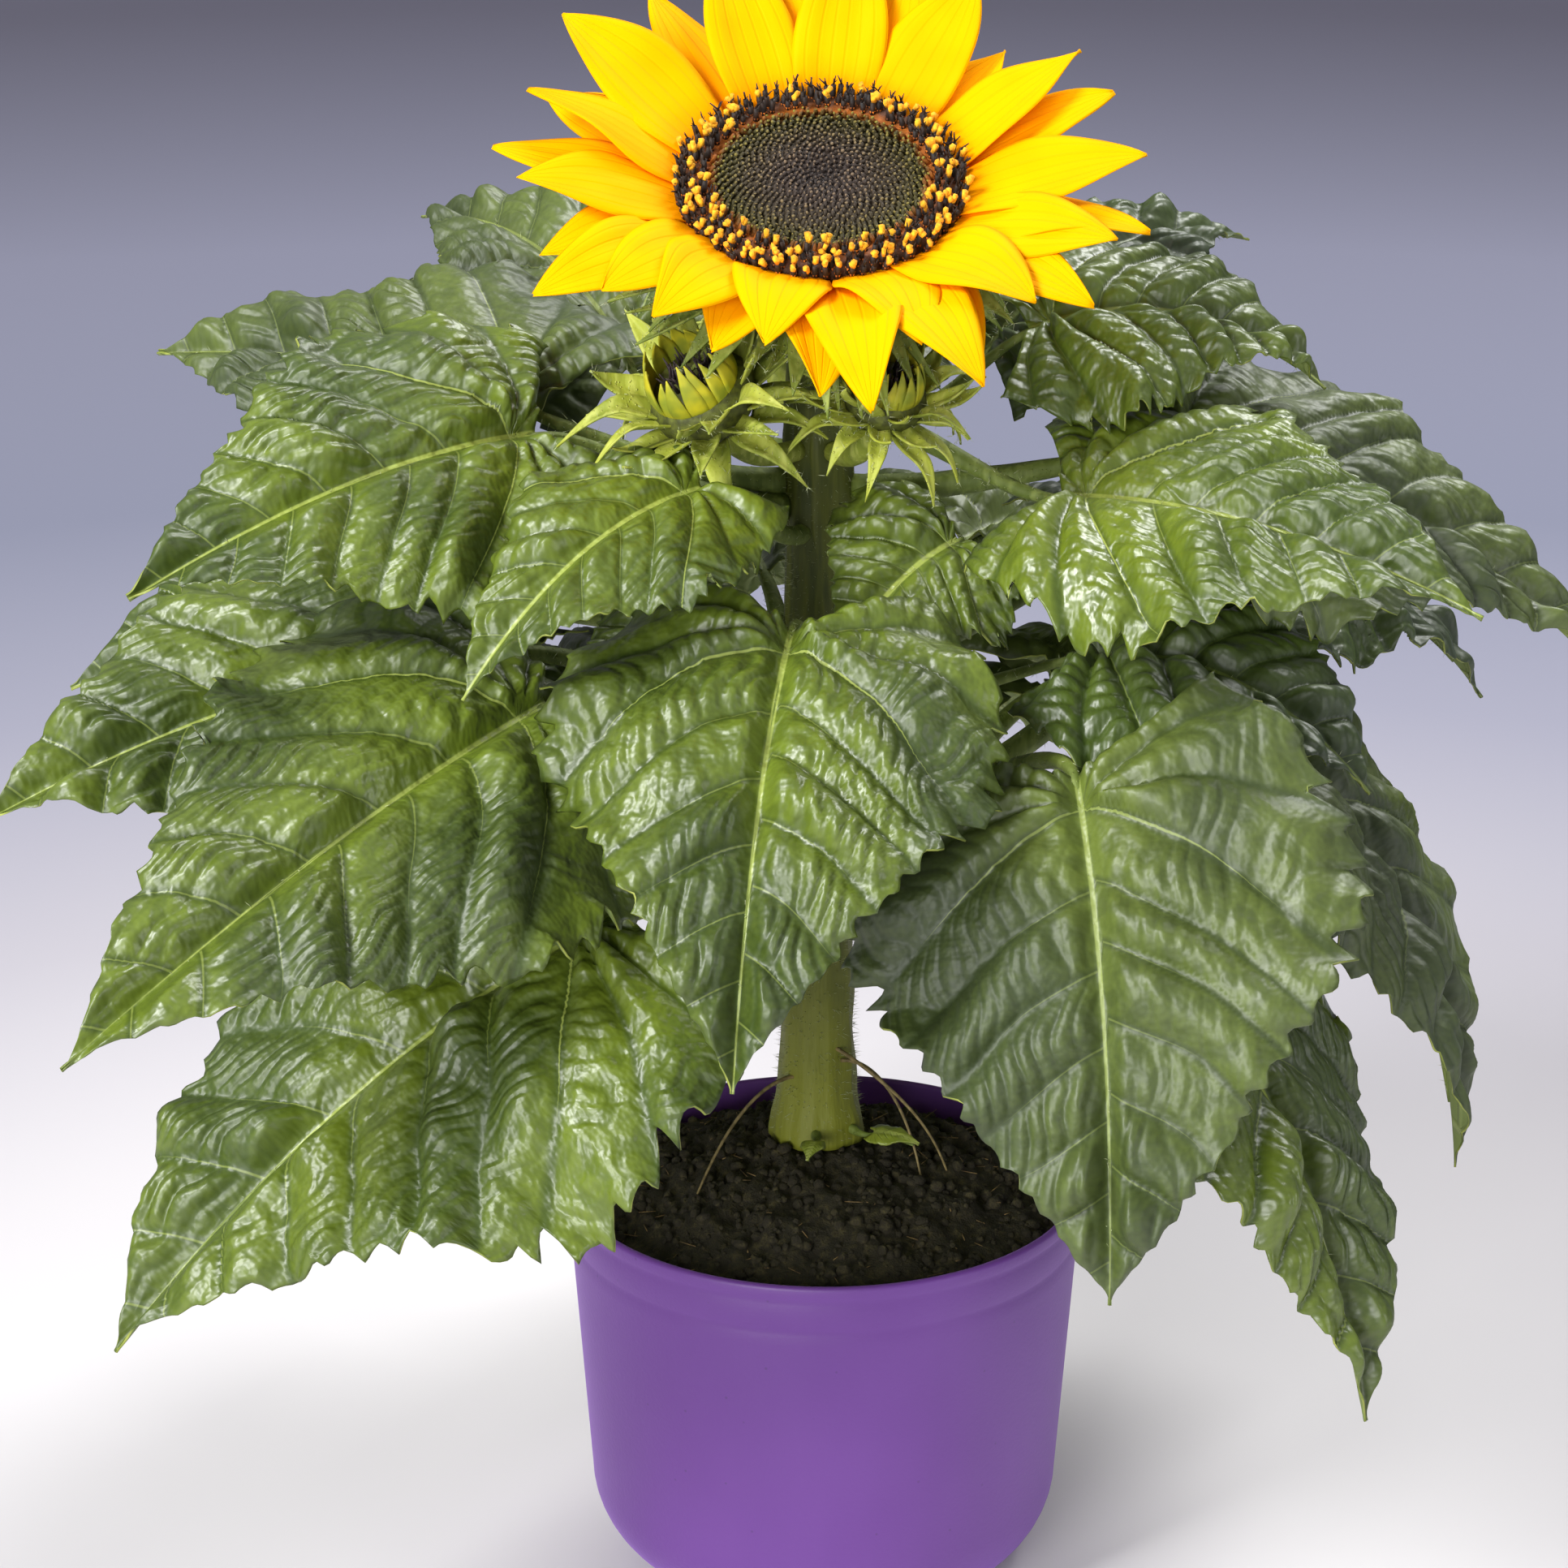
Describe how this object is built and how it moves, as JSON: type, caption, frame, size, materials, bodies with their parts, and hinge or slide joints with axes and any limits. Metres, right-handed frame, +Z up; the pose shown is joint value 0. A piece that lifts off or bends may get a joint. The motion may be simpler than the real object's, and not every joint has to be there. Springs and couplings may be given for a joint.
{
  "type": "potted sunflower plant",
  "caption": "Dwarf sunflower in a round plastic pot, with one thick stem, tiers of drooping heart-shaped leaves, an open yellow flower head and side buds.",
  "frame": {"origin": "middle of the pot's flat underside", "axes": "+Z up along the pot and the stem, and -Y towards the side that the flower faces"},
  "size_m": [0.4125, 0.3769, 0.4331],
  "materials": {
    "pot": "satin purple",
    "soil": "damp peaty potting soil",
    "stem": "hairy green stem",
    "leaf": "quilted leaf, soft gloss",
    "ray": "satin yellow petal",
    "disc": "packed florets",
    "bract": "hairy green bract"
  },
  "bodies": {
    "root": {"pot": "pot", "soil": "soil", "stem": "stem", "flower_disc": "disc", "flower_rays": "ray", "flower_cup": "bract", "bud_left": "bract", "bud_right": "bract", "bud_back": "bract", "leaf_top_left": "leaf", "leaf_top_left_back": "leaf", "leaf_top_back_left": "leaf", "leaf_top_back": "leaf", "leaf_top_back_right": "leaf", "leaf_top_right_upper": "leaf", "leaf_top_right_back": "leaf", "leaf_top_right": "leaf", "leaf_top_front_left": "leaf", "leaf_mid_left_back": "leaf", "leaf_mid_left": "leaf", "leaf_mid_front_left": "leaf", "leaf_mid_front_inner": "leaf", "leaf_mid_front": "leaf", "leaf_mid_front_right": "leaf", "leaf_mid_right": "leaf", "leaf_mid_right_back": "leaf", "leaf_mid_back_right": "leaf", "leaf_mid_back": "leaf", "leaf_mid_back_left": "leaf", "leaf_low_front_left": "leaf", "leaf_low_front_right": "leaf", "leaf_low_right": "leaf", "leaf_low_right_back": "leaf", "leaf_low_back_right": "leaf", "leaf_low_back": "leaf", "leaf_low_back_left": "leaf", "leaf_low_left": "leaf", "seed_leaf_right": "leaf", "seed_leaf_front": "leaf"}
  },
  "joints": []
}
